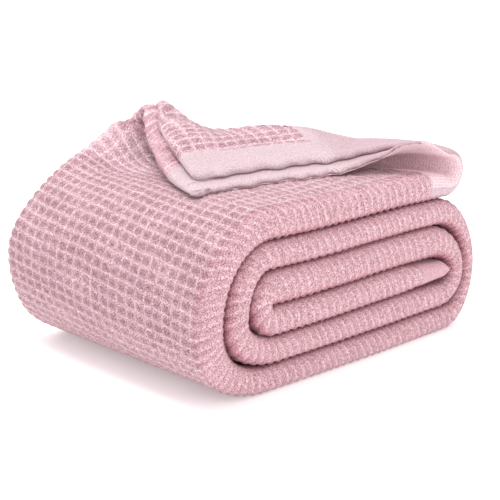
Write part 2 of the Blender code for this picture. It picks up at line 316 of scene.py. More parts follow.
def surface(q, v):
    """The surface that the strip is swept about: the roll, the top run, the fold, the flap."""
    q, v = np.broadcast_arrays(np.asarray(q, float), np.asarray(v, float))
    x, z, _ = roll_middle(np.minimum(q, ROLL_END))
    start, radius, wide, heading, length, leave = fold_frame(v)
    share = v / STRIP_WIDTH
    outer, _ = faces_at(q, v)
    outer_start, _ = faces_at(np.minimum(q, FOLD_START), v)
    outer_leave, _ = faces_at(np.full_like(q, FLAP_START), v)

    x = x + (start[..., 0] - NODES[-1, 0]) * np.clip(q - ROLL_END, 0, 1)
    top = TOP_FLOOR + base_thickness(np.minimum(q, FOLD_START), v) + lift(x, v)
    top = top - outer_start * steepness(x, v)
    rise = lift(x, v) * (1 + LIFT_SHARE_BELOW) / 2 - outer * (steepness(x, v) - 1)
    z = np.where(q > ROLL_END, top, z + np.where(q > ROLL_END - 1, rise, 0.0))

    angle = math.pi * np.clip(q - FOLD_START, 0, 1)
    turn = (wide * (angle - np.sin(angle)) / 2)[..., None] * (heading + AHEAD)
    x = x + wide * np.sin(angle) + turn[..., 0]
    y = v + turn[..., 1]
    z = z + radius * (1 - np.cos(angle))

    down = np.clip(q - FLAP_START, 0, PAST_HEM)
    bow = FLAP_BOW * smooth((share - 0.5) / 0.5) * np.sin(math.pi * down)
    flap_x = leave[..., 0] + heading[..., 0] * length * down - bow
    flap_y = leave[..., 1] + heading[..., 1] * length * down
    below = TOP_FLOOR + RUN_THICKNESS["outer top"]
    steep = steepness(leave[..., 0], leave[..., 1])
    clear_leave = z - outer_leave * steep - below - lift(leave[..., 0], leave[..., 1])
    clear = clear_leave + (column(HEM, 3, share) - clear_leave) * smooth(down ** CLEAR_POWER)
    flap_z = below + lift(flap_x, flap_y) + clear + outer * steepness(flap_x, flap_y)
    on_flap = q > FLAP_START
    return np.stack([np.where(on_flap, flap_x, x), np.where(on_flap, flap_y, y),
                     np.where(on_flap, flap_z, z)], -1)


def normal(q, v):
    """Unit normal of the sweep's surface, towards the outer side of the roll."""
    dq, dv = 1e-4, 1e-5
    along = surface(q + dq, v) - surface(q - dq, v)
    across = surface(q, v + dv) - surface(q, v - dv)
    n = np.cross(along, across)
    return n / np.linalg.norm(n, axis=-1, keepdims=True)


def strip_point(q, v, w):
    """A point of the strip: w runs from -1 on its inner face to 1 on its outer face."""
    outer, inner = faces_at(q, v)
    offset = (w * (outer + inner) + outer - inner) / 2
    return surface(q, v) + offset[..., None] * normal(q, v)


def eased(points):
    """The finished points with the roll's slow unevenness, the same for all its turns."""
    x, y, z = points[..., 0], points[..., 1], points[..., 2]
    off_floor = ramp(z, *EVEN_TO)
    depth = 1 - y / STRIP_WIDTH
    left = smooth((LEFT_TO - x) / LEFT_TO)
    wave = np.sin(x / 0.038 + y / 0.15 + 0.6)
    drawn_in = CORNER_DRAW * smooth((CORNER_X[0] - x) / CORNER_X[1])
    drawn_in = drawn_in * smooth((CORNER_Z - z) / CORNER_Z) * depth
    far = ramp(y, *FAR_FROM)
    bulge = spot(z, *SWELL_BAND) - WAIST_SHARE * spot(z, *WAIST_BAND)
    bulge = FAR_SWELL * far * left * bulge
    shoulder = FAR_RISE * far * spot(x, *SHOULDER) * ramp(z, *SHOULDER_FROM)
    sideways, upwards = WAVE_SHARES
    moved_x = x - bulge + UNEVEN * off_floor * np.sin(z / 0.025 + y / 0.12) * sideways
    moved_y = y + drawn_in + UNEVEN * np.sin(x / 0.052 + z / 0.037) * np.cos(math.pi * depth / 2)
    moved_z = z + shoulder + UNEVEN * upwards * wave * off_floor
    return np.stack([moved_x, moved_y, moved_z], -1)


MIDDLE = np.array([0.19417, 0.14584, 0.0])   # the part's origin, measured in the form's own axes

# ---- the weave ----

CELL_ALONG = 0.01045         # waffle cell, along the strip and across it
CELL_ACROSS = 0.01275
CELL_SQUARENESS = 6          # of a pit: 2 is round
ROW_FROM = 0.86              # a row's ridge starts at this share of the way out of a pit
COLUMN_SHARE = 0.92          # and the columns' ridges are lower than the rows'
RIDGE_POWER = 2.1            # how steep a pit's walls are
RIDGE_UNEVEN = (0.42, 0.007)         # how much that differs, and over what length
# How far the rows and the columns wander, and over what length along them and across them.
ROW_WANDER = (0.0012, 0.030, 0.050)
COLUMN_WANDER = (0.0011, 0.034, 0.045)
CELL_JITTER = (0.0005, 0.006)
LEAN_ALONG = 0.121           # the rows drop towards the near end, and the columns lean
LEAN_PAST = (0.020, 0.015, 0.008)  # the rows drop past this place, this softly, less this much
LEAN_ACROSS = 0.091
LEAN_FROM = 1.86             # length along the strip where the columns start to lean
LEAN_IN = (0.005, 0.08)      # and where that comes in across the strip, and over what length
RIDGE_RISE = 0.0005          # the cell's ridges stand this much proud of the solid
PIT_DEPTH = 0.0014           # from a ridge down to the middle of a cell
PLAIN_SINK = 0.0004          # the plain borders lie this much under the solid's face
RIM_RELIEF = 0.93            # height of the weave where it is drawn smooth round an edge

BORDER_STEP = 0.006          # length over which the weave changes to a plain border
TIP_BORDER = 0.043           # plain woven length at the inner end
HEM_BORDER = 0.0623          # and on the turned-back flap, from the lower hem, at this place
HEM_BORDER_AT = 0.043        # across the flap
HEM_BORDER_TAPER = 0.04      # and narrower further on
BORDER_WANDER = (0.0008, 0.02)
FLAP_AHEAD = np.array([-0.40, -0.9165])      # the way the flap's threads run
FLAP_ACROSS = np.array([-FLAP_AHEAD[1], FLAP_AHEAD[0]])
LINES_AT = 0.191             # place across the flap of a group of stitched lines
LINES_LEAN = 0.22            # which lean over away from the hem
CURL_X = 0.308               # the plain border of the curl's outer face starts here at the near
CURL_LEAN = 0.35             # edge and leans over away from it,
CURL_TO = (0.22, 0.02)       # up to this place across the strip, fading over this length

STROKE_LEAN = 0.4            # lean of the ribs that cross the strip's near edge
STROKE_STEP = 0.0094
STROKE_WANDER = (0.0022, 0.016, 0.008)
LOBE_STEP = 0.0086           # from rib to rib on the flap's folded far edge
LOBE_FROM = (0.262, 0.006)   # which starts at this place across the strip, over this length
LOBE_LEAN = 0.7
LOBE_LEAN_AT = 0.300         # place round the strip where that lean is nothing
LOBE_LEAN_FROM = (0.05, 0.08)
LOBE_STRENGTH = 2.3          # its ribs show more than the near edge's
TOOTH_RISE = 0.0008          # the ribs stand out by this, times their strength,
TOOTH_MOST = 1.3             # which counts up to here


def wander(a, b, seed, waves=5):
    """A smooth wander between about -1 and 1 over two coordinates in radians, always the same."""
    draw = np.random.RandomState(seed)
    total = 0.0
    for _ in range(waves):
        turn, size, shift = (draw.uniform(0, 2 * math.pi), draw.uniform(0.6, 1.6),
                             draw.uniform(0, 6.28))
        total = total + np.sin((a * math.cos(turn) + b * math.sin(turn)) * size + shift)
    return total / math.sqrt(2 * waves)


def path_table():
    """Length along the strip at each station of the roll, on the middle and, once outside, the
    face."""
    q = np.linspace(0, ROLL_END, 6001)
    v = np.full_like(q, STRIP_WIDTH * 0.3)
    lengths = []
    for w in (0.0, 1.0):
        points = strip_point(q, v, np.full_like(q, w))
        lengths.append(np.linalg.norm(np.diff(points, axis=0), axis=1))
    outside = (q[1:] + q[:-1]) / 2 > 12
    steps = np.where(outside, lengths[1], lengths[0])
    return q, np.concatenate([[0.0], np.cumsum(steps)])


PATH_Q, PATH_S = path_table()
LENGTH_TO_HEM = float(from_hem(np.array(ROLL_END), np.array(STRIP_WIDTH * 0.5)))


def along_strip(q, v):
    """Length of cloth from the inner end, on the roll and the top run."""
    start, _, wide, _, _, _ = fold_frame(v)
    roll = np.interp(q, PATH_Q, PATH_S)
    top = (start[..., 0] - NODES[-1, 0]) * np.clip(q - ROLL_END, 0, 1)
    return roll + top + math.pi * wide * np.clip(q - FOLD_START, 0, 1)


def leaning(along, across):
    """Place in the weave of the outer turn, whose threads don't run square to the strip."""
    past, soft, less = LEAN_PAST
    away = across - past
    rows = along - LEAN_ALONG * (np.sqrt(away ** 2 + soft ** 2) + away - less) / 2
    columns = across - LEAN_ACROSS * (along - LEAN_FROM) * ramp(across, *LEAN_IN)
    return rows, columns


def uneven(place, other, sizes, seeds):
    """A place in the weave with its slow wander and a small jitter; other is the place square
    to it."""
    far, over_other, over_place = sizes
    jitter, size = CELL_JITTER
    return (place + far * wander(other / over_other, place / over_place, seeds[0])
            + jitter * wander(other / size, place / size, seeds[1]))


def cells(along, across):
    """Height in a waffle cell, 0 in its pit and 1 on its ridges, with slightly uneven rows, and
    the place counted in cells both ways."""
    along = uneven(along, across, ROW_WANDER, (3, 5))
    across = uneven(across, along, COLUMN_WANDER, (4, 6))
    a = np.abs(np.mod(along / CELL_ALONG, 1.0) - 0.5) * 2
    b = np.abs(np.mod(across / CELL_ACROSS, 1.0) - 0.5) * 2
    much, size = RIDGE_UNEVEN
    power = RIDGE_POWER * (1 + much * wander(along / size, across / size, 9))
    out = (a / ROW_FROM) ** CELL_SQUARENESS + (COLUMN_SHARE * b) ** CELL_SQUARENESS
    height = np.minimum(1.0, out ** (1 / CELL_SQUARENESS)) ** power
    return height, along / CELL_ALONG, across / CELL_ACROSS


def stroke_place(along, across):
    """Place along the strip's folded edge, counted in the leaning ribs that cross it."""
    far, over_along, over_across = STROKE_WANDER
    waver = far * wander(along / over_along, across / over_across, 7)
    return (along + STROKE_LEAN * across + waver) / STROKE_STEP


def weave(q, v, w, t):
    """The weave at each point of a skin: its height from 0 to 1, how plain it is, the distance
    to the hem, the place across the group of stitched lines, the place counted in rows and in
    columns, and how far those have ridges. t is the place round the strip from its near edge."""
    hem = from_hem(q, v)
    plan = surface(q, v)[..., :2]
    side = plan @ FLAP_ACROSS
    flap = smooth((q - FOLD_START - 0.35) / 0.3)
    on_top, row, line = cells(*leaning(along_strip(q, v), t))
    on_top = on_top + (RIM_RELIEF - on_top) * smooth((0.009 - v) / 0.005)
    on_flap, flap_row, flap_line = cells(LENGTH_TO_HEM - hem, side)
    height = on_top + (on_flap - on_top) * flap
    row, line = np.where(flap > 0.5, flap_row, row), np.where(flap > 0.5, flap_line, line)

    tip = np.interp(q, PATH_Q, PATH_S)
    plain = 1 - smooth((tip - TIP_BORDER) / BORDER_STEP + 0.5)
    waver, size = BORDER_WANDER
    edge = HEM_BORDER - HEM_BORDER_TAPER * (side - HEM_BORDER_AT)
    edge = edge + waver * wander(side / size, 0 * hem, 11)
    plain = np.maximum(plain, (1 - smooth((hem - edge + 0.003) / 0.005)) * (q > ROLL_END))
    lean = side - LINES_AT + LINES_LEAN * hem
    plain = np.maximum(plain, smooth(lean / 0.004) * (q > FOLD_START))
    over = np.where(q < FOLD_START, plan[..., 0] - (CURL_X - CURL_LEAN * v), 0.01)
    curl = smooth(over / BORDER_STEP + 0.5) * (q > ROLL_END) * smooth((w + 0.75) / 0.3)
    plain = np.maximum(plain, curl * smooth((CURL_TO[0] - v) / CURL_TO[1]))
    lines = np.where((q > FOLD_START + 0.4) & (t < 0), lean, 1.0)
    ridged = (1 - plain) * np.where(flap > 0.5, 1.0, 1 - smooth((0.011 - v) / 0.005))
    return height, plain, hem, lines, row, line, ridged


# ---- the section that the skins are swept with ----

HALF = 0.013                 # half the strip's usual thickness
RIM_BULGE = 0.0135           # the woven near edge is rounder than the solid
RIM_FULLNESS = 2.7
LOBE_FULLNESS = 0.75         # power that rounds the two far folds
LOBE_LOW = 0.05              # half the gap between them, in shares of half the thickness
NEAR_ZONE = 0.030            # the skins are finer this far in from the near edge
FAR_ZONE = 0.022             # and have their own step this far in from the far one


def evened(points, step_at):
    """Points along a polyline, as far apart as step_at says at each of them."""
    steps = np.linalg.norm(np.diff(points, axis=0), axis=1)
    length = np.concatenate([[0.0], np.cumsum(steps)])
    count = np.concatenate([[0.0], np.cumsum(steps / step_at)])
    wanted = np.linspace(0, count[-1], int(math.ceil(count[-1])) + 1)
    return np.stack([np.interp(wanted, count, values) for values in (*points.T, length)], -1)


def outline(face, back, rim=0.0016, far=0.0030):
    """Once round the strip from the groove of its far edge, over the outer face, round the near
    edge and back along the inner face: rows of v, w and the place from the near tip. face, back,
    rim and far are the steps on the outer face, the inner face and at both edges."""
    edge, power = STRIP_WIDTH, 2 / RIM_FULLNESS
    a = np.linspace(-math.pi / 2, math.pi / 2, 60)
    side = np.sign(a) * np.abs(np.sin(a)) ** LOBE_FULLNESS
    bulge = FAR_BULGE * np.abs(np.cos(a)) ** LOBE_FULLNESS
    lobe = np.stack([edge - FAR_BULGE + bulge, (1 + LOBE_LOW + (1 - LOBE_LOW) * side) / 2], -1)
    groove = np.stack([np.linspace(edge - FAR_GROOVE, edge - FAR_BULGE, 8),
                       np.linspace(0.0, LOBE_LOW, 8)], -1)
    face_v = np.linspace(edge - FAR_BULGE, RIM_BULGE, 400)[1:-1]
    rim_a = np.linspace(math.pi / 2, 0, 60)
    near = np.stack([RIM_BULGE * (1 - np.cos(rim_a) ** power), np.sin(rim_a) ** power], -1)
    upper = np.concatenate([groove, lobe[1:], np.stack([face_v, np.ones_like(face_v)], -1), near])
    lower = upper[::-1][1:].copy()
    lower[:, 1] *= -1
    lower[:, 0] -= FAR_OFFSET * smooth((lower[:, 0] - 0.2) / 0.06)
    full = np.concatenate([upper, lower])
    scaled = full * np.array([1.0, HALF])
    lengths = np.linalg.norm(np.diff(scaled, axis=0), axis=1)
    near_tip = np.concatenate([[0.0], np.cumsum(lengths)])[len(upper) - 1]
    middle_v, middle_w = (full[1:, 0] + full[:-1, 0]) / 2, (full[1:, 1] + full[:-1, 1]) / 2
    step = np.where(middle_w > 0, face, back)
    step = np.where(middle_v < NEAR_ZONE, np.minimum(step, rim), step)
    step = np.where(middle_v > edge - FAR_ZONE, far, step)
    rows = evened(scaled, step)
    return np.stack([rows[:, 0], rows[:, 1] / HALF, near_tip - rows[:, 2]], -1)


def strip_rows(rows, shape, scale=1.0):
    """q, v, w and t of the strip on rows of station numbers and a section's shape."""
    v, w, t = (np.broadcast_to(shape[:, k], (len(rows), len(shape))) for k in range(3))
    q = np.broadcast_to(rows[:, None], v.shape)
    return q, v, w * np.broadcast_to(scale, len(rows))[:, None], t


# ---- the roll and the top run ----

def roll_rows(begin, end, step):
    """Station numbers at even steps along the roll, with a spare one past each end."""
    length = np.interp([begin, end], PATH_Q, PATH_S)
    count = int(math.ceil((length[1] - length[0]) / step))
    q = np.interp(np.linspace(length[0], length[1], count + 1), PATH_S, PATH_Q)
    return np.concatenate([[2 * q[0] - q[1]], q, [2 * q[-1] - q[-2]]])


def roll_skin(begin, end, step, shape, tip=False):
    """A length of the roll, whose inner end is closed by narrowing rows."""
    rows, scale = roll_rows(begin, end, step), 1.0
    if tip:
        rows = np.concatenate([[0.0] * 4, np.linspace(0.0004, 0.036, 7), rows[rows > 0.04]])
        scale = np.concatenate([[0.05, 0.4, 0.75, 0.95], np.ones(len(rows) - 4)])
    q, v, w, t = strip_rows(rows, shape, scale)
    return q, v, w, t, strip_point(q, v, w), 0.0


def top_skin(step, shape):
    """The top run, from the roll to where the slanting fold starts."""
    count = int(math.ceil((FOLD[0][1] - NODES[-1, 0]) / step))
    rows = np.linspace(ROLL_END, FOLD_START, count + 1)
    rows = np.concatenate([[rows[0] - 0.01], rows, [rows[-1] + 0.01]])
    q, v, w, t = strip_rows(rows, shape)
    return q, v, w, t, strip_point(q, v, w), 0.0


# ---- the flap and its hem ----

# The hem's profile: distance back from the lower half's edge, and height over the lower face.
# columns: back, height, how far it follows the upper half's wavy edge (0 the lower half's)
HEM_PROFILE = (
    (0.0330, 1.00, 1.0), (0.0285, 0.985, 1.0), (0.0262, 0.95, 1.0), (0.0243, 0.88, 1.0),
    (0.0232, 0.79, 1.0), (0.0230, 0.70, 1.0), (0.0236, 0.61, 1.0), (0.0250, 0.55, 1.0),
    (0.0275, 0.51, 1.0), (0.0272, 0.48, 1.0), (0.0245, 0.468, 0.9), (0.0210, 0.460, 0.6),
    (0.0175, 0.455, 0.3), (0.0140, 0.450, 0.1), (0.0105, 0.445, 0.0), (0.0075, 0.43, 0.0),
    (0.0048, 0.405, 0.0), (0.0028, 0.36, 0.0), (0.0012, 0.29, 0.0), (0.0003, 0.21, 0.0),
    (0.0002, 0.13, 0.0), (0.0012, 0.06, 0.0), (0.0030, 0.015, 0.0),
)
FOLD_SPAN = 0.075            # usual length of cloth round the fold, and from it to the hem
FLAP_SPAN = 0.165
# The wavy edges of the hem's upper and lower half, each of two waves.
# columns: height of the wave, its length over 2 pi, its shift
UPPER_WAVES = ((0.0020, 0.0046, 0.7), (0.0018, 0.0088, 2.0))
LOWER_WAVES = ((0.0030, 0.0044, 2.9), (0.0018, 0.0100, 0.4))
WAVES_CALM = (0.02, 0.004, 0.03)     # they calm down over these lengths at the far and near edge
CORNER_ROUND = 0.009         # the hem's far corners are rounded off
ROUND_MOST = 0.98
# Hollows pressed into the edges of the two halves near the far corner.
# columns: place in from the strip's far edge, width, depth, height of the middle, its spread
UPPER_HOLLOW = (0.011, 0.004, 0.003, 0.72, 0.10)
LOWER_HOLLOW = (0.016, 0.005, 0.005, 0.20, 0.12)
LIP = (0.11, 0.250, 0.0045)  # the upper half's edge lifts: how much, at which v and how wide
RIB_DRAW = (0.0045, 0.003)   # the flap's two far folds are drawn in near the peak,
RIB_DRAW_FROM = (0.25, 0.03)         # from this place across, over this length
CREASE = (0.505, 0.035)      # height of the painted shade in the crease between the two halves, its spread
UNDER_EDGE = 0.16            # painted shadow on the lower half's edge below this height
LOOP = (0.2810, 0.0042, 0.335, 0.035)        # painted shade in the middle of the small loop at the hem's corner


def hem_waves(v, waves):
    """Wander of a half's edge, calm near both side edges."""
    far, near, over = WAVES_CALM
    calm = smooth((STRIP_WIDTH - FAR_GROOVE - v) / far) * smooth((v - near) / over)
    return calm * sum(size * np.sin(v / length + shift) for size, length, shift in waves)


def rounded_off(v, reach):
    """How far a hem's corner is rounded off, where its half reaches out to v = reach."""
    over = np.clip((v - reach) / CORNER_ROUND + 1, 0, ROUND_MOST)
    return CORNER_ROUND * (1 - np.sqrt(1 - over ** 2))


def hollow(v, height, sizes):
    inwards, width, depth, middle, spread = sizes
    return depth * spot(v, STRIP_WIDTH - inwards, width) * spot(height, middle, spread)


def flap_skin(step, shape):
    """The fold, the flap and the hem's two stepped halves."""
    v, w, t = shape.T
    length = fold_frame(v)[4]
    # On the upper half only the inner far fold's corner is rounded off.
    far_reach = STRIP_WIDTH - np.where(w < 0, FAR_OFFSET, -0.02)
    upper = hem_waves(v, UPPER_WAVES) + rounded_off(v, far_reach)
    lower = hem_waves(v, LOWER_WAVES) + rounded_off(v, STRIP_WIDTH)
    last = FLAP_END - (HEM_PROFILE[0][0] + upper) / length
    fold = np.linspace(FOLD_START, FLAP_START, int(FOLD_SPAN / step))
    count = int(FLAP_SPAN / step)
    rows = [np.full_like(v, q) for q in (fold[0] - 0.01, *fold)]
    rows += [FLAP_START + (last - FLAP_START) * i / count for i in range(1, count)]
    heights = [np.ones_like(v)] * len(rows)
    for back, height, follow in HEM_PROFILE:
        wave = upper * follow + lower * (1 - follow)
        if follow == 1.0:
            wave = wave + hollow(v, height, UPPER_HOLLOW)
            height = height + LIP[0] * spot(v, *LIP[1:]) * smooth((0.85 - height) / 0.2)
        elif height < 0.42:
            wave = wave + hollow(v, height, LOWER_HOLLOW) * (w > -0.99)
        rows.append(FLAP_END - (back + wave) / length)
        heights.append(np.broadcast_to(height, v.shape))
    q, height = np.array(rows), np.array(heights)
    v, t = np.broadcast_to(v, q.shape), np.broadcast_to(t, q.shape)

    drawn = smooth((q - FOLD_START) / 0.6) * (1 - smooth((q - FLAP_START) / 0.75))
    v = v - np.where(w > 0, *RIB_DRAW) * drawn * ramp(v, *RIB_DRAW_FROM)
    # painted shade in the crease between the halves and in the loop, painted shadow under the
    # lower half's edge
    under = spot(height, *CREASE) + 1 - smooth(height / UNDER_EDGE)
    loop = spot(v, *LOOP[:2]) * spot(height, *LOOP[2:]) * (w >= 0) * (w < 0.5)
    hem_shade = np.maximum(np.where(w < 0, under, 0.0), loop * (q > FLAP_START + 0.5))
    squeezed = 1 - (1 - np.maximum(w, 0)) * 2 * height
    w = np.where(height > 0.5, np.where(w < 0, w * (2 * height - 1), w), squeezed)
    return q, v, w, t, strip_point(q, v, w), hem_shade * (height < 0.9)


# ---- pieces of cloth ----

COVERED_TO = 10.5            # q up to which the next turn lies over the outer face
POCKET_FROM = (15.94, 0.08)  # q and v where the cloth goes in under the fold, where painted shadow starts
POCKET_V = (0.20, 0.05)
# strength of the painted shade in that pocket and in the creases between turns
POCKET_SHADE = 0.3
COVERED_SHADE = 0.5
SLOPE_FROM = (15.0, 0.3)     # q and v where the ridge's outer slope starts
SLOPE_V = (0.17, 0.06)
SLOPE_PALER = 0.25           # its pits are painted paler by this, and it is painted lighter by this, both painted light
SLOPE_PAINTED_LIGHT = 1.9
LOBE_PALER = 0.7             # and the same painted light on the flap's folded far edge
LOBE_PAINTED_LIGHT = 1.5
WITHIN_TO = (0.19, 0.05)     # v up to which the border shows within the curl, and its fading
FLAP_SHADE_OVER = 0.03             # length over which the painted shade on the flap's corner comes in
LOW_TO = (0.02, 0.06)        # the pits near the floor are paler, up to this height, fading,
LOW_SHALLOWER = 0.25         # by this
RIM_FROM = (0.020, 0.012)    # the pits near the near edge are shallower from this v, fading in,
RIM_SHALLOWER = 0.25         # by this
FLAP_DEEPER = 0.2            # and those on the flap are deeper


def face_normals(points):
    """Unit normals of a grid of points, from its own neighbours."""
    n = np.cross(np.gradient(points, axis=0), np.gradient(points, axis=1))
    return n / np.maximum(np.linalg.norm(n, axis=-1, keepdims=True), 1e-12)


def painted_shading(q, v, w, upward):
    """Painted shade: how deep a point lies in the crease between two turns or in the pocket under
    the fold, and how warm that painted shade is, 0 to 1.
    """
    outer = smooth((COVERED_TO - q) / 0.5)
    inner = smooth((FOLD_START - q) / 0.3)
    side = np.where(w > 0, outer, inner)
    warm_painted_shade = side * ramp(np.abs(w), 0.35, 0.6) * (0.5 + 0.5 * upward)
    painted_shade = COVERED_SHADE * side * ramp(np.abs(w), 0.88, 0.11)
    pocket = ramp(q, *POCKET_FROM) * (q < FOLD_START + 0.5) * (w > 0)
    return np.maximum(painted_shade, POCKET_SHADE * pocket * ramp(v, *POCKET_V)), warm_painted_shade


def edge_ribs(q, v, t, hem, plain):
    """Ribs of the folded edges: the place counted in ribs, how strongly they show, and the share
    of the flap's far edge."""
    lobe = ramp(v, *LOBE_FROM) * (t > 0) * (q > FOLD_START + 0.3)
    lean = ramp(hem, *LOBE_LEAN_FROM)
    on_lobe = (hem + LOBE_LEAN * (t - LOBE_LEAN_AT) * lean) / LOBE_STEP
    rib = np.where(lobe > 0, on_lobe, stroke_place(along_strip(q, v), t))
    edge = np.maximum(smooth((0.016 - v) / 0.006), LOBE_STRENGTH * lobe) * (1 - plain)
    return rib, edge, lobe


def grid_mesh(name, points, place, labels):
    """A mesh of a grid of points, with a place in the cloth as its UV map and its labels."""
    rows, count = points.shape[:2]
    index = np.arange(rows * count).reshape(rows, count)
    corners = (index[:-1, :-1], index[1:, :-1], index[1:, 1:], index[:-1, 1:])
    mesh = bpy.data.meshes.new(name)
    mesh.from_pydata(points.reshape(-1, 3).tolist(), [],
                     np.stack(corners, -1).reshape(-1, 4).tolist())
    for label, values in labels.items():
        attribute = mesh.attributes.new(label, "FLOAT", "POINT")
        flat = np.ascontiguousarray(values, dtype=np.float32).ravel()
        attribute.data.foreach_set("value", flat)
    vertex = np.zeros(len(mesh.loops), dtype=np.int32)
    mesh.loops.foreach_get("vertex_index", vertex)
    uv = mesh.uv_layers.new(name="Cloth")
    uv.data.foreach_set("uv", place.reshape(-1, 2)[vertex].astype(np.float32).ravel())
    mesh.polygons.foreach_set("use_smooth", np.ones(len(mesh.polygons), dtype=bool))
    mesh.update()
    return mesh


def woven_piece(name, parts, material, trim=(1, 1)):
    """One skin of the cloth as a piece of the scene, without its spare rows at the ends."""
    q, v, w, t, points, hem_shade = parts
    relief, plain, hem, lines, row, line, ridged = weave(q, v, w, t)
    low = 1 - smooth((points[..., 2] - LOW_TO[0]) / LOW_TO[1])
    relief = 1 - (1 - relief) * (1 - LOW_SHALLOWER * low)
    facing = face_normals(points)
    past_fold = ramp(q, FOLD_START + 0.4, 0.4)
    rim = smooth((RIM_FROM[0] - v) / RIM_FROM[1])
    depth = PIT_DEPTH * (1 - RIM_SHALLOWER * rim + FLAP_DEEPER * past_fold * (w < 0))
    raised = (RIDGE_RISE - depth * (1 - relief)) * (1 - plain) - PLAIN_SINK * plain
    rib, edge, lobe = edge_ribs(q, v, t, hem, plain)
    tooth = np.minimum(edge, TOOTH_MOST) * np.maximum(ramp(np.abs(w), 0.6, 0.3), lobe)
    raised = raised + TOOTH_RISE * np.cos(2 * math.pi * rib) * tooth
    moved = eased(points + raised[..., None] * facing) - MIDDLE
    moved[..., 2] = np.maximum(moved[..., 2], 0.0)

    painted_shade, warm_painted_shade = painted_shading(q, v, w, facing[..., 2])
    on_flap = (q > FOLD_START + 0.4) * (t < 0)
    # painted light: the ridge's outer slope, the flap's top and its folded far edge are painted
    # lighter, their pits paler
    slope = ramp(q, *SLOPE_FROM) * ramp(v, *SLOPE_V) * (q < FOLD_START + 0.4)
    relief = 1 - (1 - relief) * (1 - SLOPE_PALER * slope)
    relief = relief + (RIM_RELIEF - relief) * LOBE_PALER * lobe
    painted_light = np.maximum(on_flap * past_fold, SLOPE_PAINTED_LIGHT * slope)
    painted_light = np.maximum(painted_light, LOBE_PAINTED_LIGHT * lobe)
    labels = {
        "relief": relief, "plain": plain, "lines": lines, "painted_shade": np.maximum(painted_shade, hem_shade),
        "warm_painted_shade": warm_painted_shade, "row": row, "line": line, "ridged": ridged,
        "within": plain * (t > 0) * (q > ROLL_END) * (1 - ramp(v, *WITHIN_TO)),
        "rib": rib, "edge": edge, "flap_corner_shade": plain * smooth(lines / FLAP_SHADE_OVER) * on_flap,
        "painted_light": (1 - plain) * painted_light,
        "inner": plain * (q < 4),
    }
    along = 3 - hem if name in ("top", "flap") else along_strip(q, v)
    keep = slice(trim[0], len(q) - trim[1])
    mesh = grid_mesh(name, moved[keep], np.stack([along, t], -1)[keep],
                     {label: values[keep] for label, values in labels.items()})
    mesh.materials.append(material)
    piece = bpy.data.objects.new(name, mesh)
    bpy.context.scene.collection.objects.link(piece)
    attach(piece, "root")
    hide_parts("blanket")
    return piece


# ---- shader nodes ----

COTTON = bpy.data.materials.new("waffle cotton")
COTTON.use_nodes = True
TREE = COTTON.node_tree


def fill(socket, value):
    """Set a socket to a number or colour, or link it."""
    if isinstance(value, bpy.types.NodeSocket):
        TREE.links.new(value, socket)
    else:
        socket.default_value = value


def node(kind, **inputs):
    """A shader node with its inputs set or linked."""
    made = TREE.nodes.new(kind)
    for key, value in inputs.items():
        fill(made.inputs[key], value)
    return made


def blended(factor, first, second):
    """A mix of two colours."""
    mix = TREE.nodes.new("ShaderNodeMix")
    mix.data_type = "RGBA"
    sockets = [s for s in mix.inputs if s.type == "RGBA"]
    for socket, value in ((mix.inputs[0], factor), (sockets[0], first), (sockets[1], second)):
        fill(socket, value)
    return [s for s in mix.outputs if s.type == "RGBA"][0]


def measured(label):
    """One of the labels that the skins carry."""
    made = TREE.nodes.new("ShaderNodeAttribute")
    made.attribute_name = label
    return made.outputs["Fac"]


def ranged(value, low, high, to_low, to_high):
    """A number read from one range into another."""
    made = TREE.nodes.new("ShaderNodeMapRange")
    for socket, number in zip(made.inputs, (value, low, high, to_low, to_high)):
        fill(socket, number)
    return made.outputs["Result"]


def counted(operation, *values):
    """A sum done on one or two numbers."""
    made = TREE.nodes.new("ShaderNodeMath")
    made.operation = operation
    for socket, value in zip(made.inputs, values):
        fill(socket, value)
    return made.outputs[0]


def times(first, second):
    return counted("MULTIPLY", first, second)


def plus(first, second):
    return counted("ADD", first, second)


# ---- the cloth's material ----

# the pits are painted darker than the cloth's body, as painted shade in them
PIT_SHADE_PINK = (0.318, 0.168, 0.198)
BODY_PINK = (0.518, 0.326, 0.361)
EDGE_PINK = (0.545, 0.250, 0.290)
# a painted highlight along the ridges of the weave
RIDGE_HIGHLIGHT_PINK = (0.70, 0.54, 0.57)
PLAIN_PINK = (0.545, 0.41, 0.445)
# painted shade on the flap's corner past the stitched lines
FLAP_CORNER_SHADE_PINK = (0.47, 0.325, 0.36)
# painted light on the border within the curl
WITHIN_LIT_PINK = (0.76, 0.54, 0.58)
INNER_PINK = (0.58, 0.345, 0.39)
# painted shade: warm beside the creases between turns, dark in them, in the pocket and along the
# hem
WARM_SHADE_PINK = (0.42, 0.15, 0.19)
PAINTED_SHADE_PINK = (0.26, 0.07, 0.10)
BODY_RELIEF = 0.9            # height in a cell where its wall has the body's colour
EDGE_SHARE = 0.2             # how far the folded edges take their own colour
RIDGE_CORE = (0.02, 0.075)   # in cells from a ridge's middle: where it starts to fade and ends
COLUMN_BEHIND = 0.015        # the columns' ridges are narrower by this
RIDGE_BREAKS = 260.0         # the ridges' unevenness, per metre
RIDGE_BROKEN = (0.42, 0.60)
RIDGE_MOST = 0.7
SECOND_WAVE = (0.5, 0.8)     # a rib's second wave: its strength and its shift
CROSS_RANGE = (-1.2, 1.5)    # lowest and highest of the ribs' waves together
CREASE_STROKES = (1.15, 0.45)        # the creases' painted warm shade between the ribs and on them

